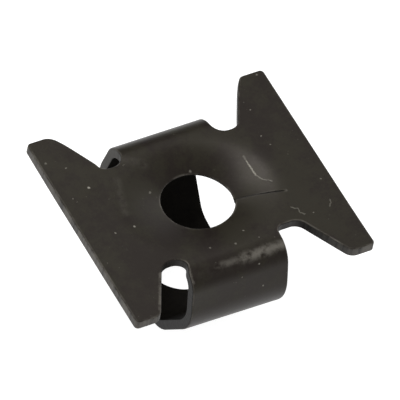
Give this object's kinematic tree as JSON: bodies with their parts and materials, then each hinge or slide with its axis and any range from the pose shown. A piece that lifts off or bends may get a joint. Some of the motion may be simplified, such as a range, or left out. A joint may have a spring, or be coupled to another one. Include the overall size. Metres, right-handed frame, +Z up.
{
  "type": "front-mounted sheet speed nut",
  "caption": "Folded spring-steel speed nut: flat plate with ears, a dished one-turn screw thread and two bowed legs that snap through a rectangular panel cut-out.",
  "frame": {"origin": "where the screw's axis meets the plate's underside, which lies on the panel's face", "axes": "+Z up the screw's axis, out of the plate's top; +X along the plate's long side, across the legs' width; the legs stand to the +Y and -Y sides and reach down to -Z"},
  "size_m": [0.018, 0.016, 0.0088],
  "materials": {
    "oxide_steel": "dark grey-brown phosphate or black oxide on spring steel, satin, with light scratches, specks of dust and brighter worn edges"
  },
  "bodies": {
    "root": {"speed_nut": "oxide_steel"}
  },
  "joints": []
}
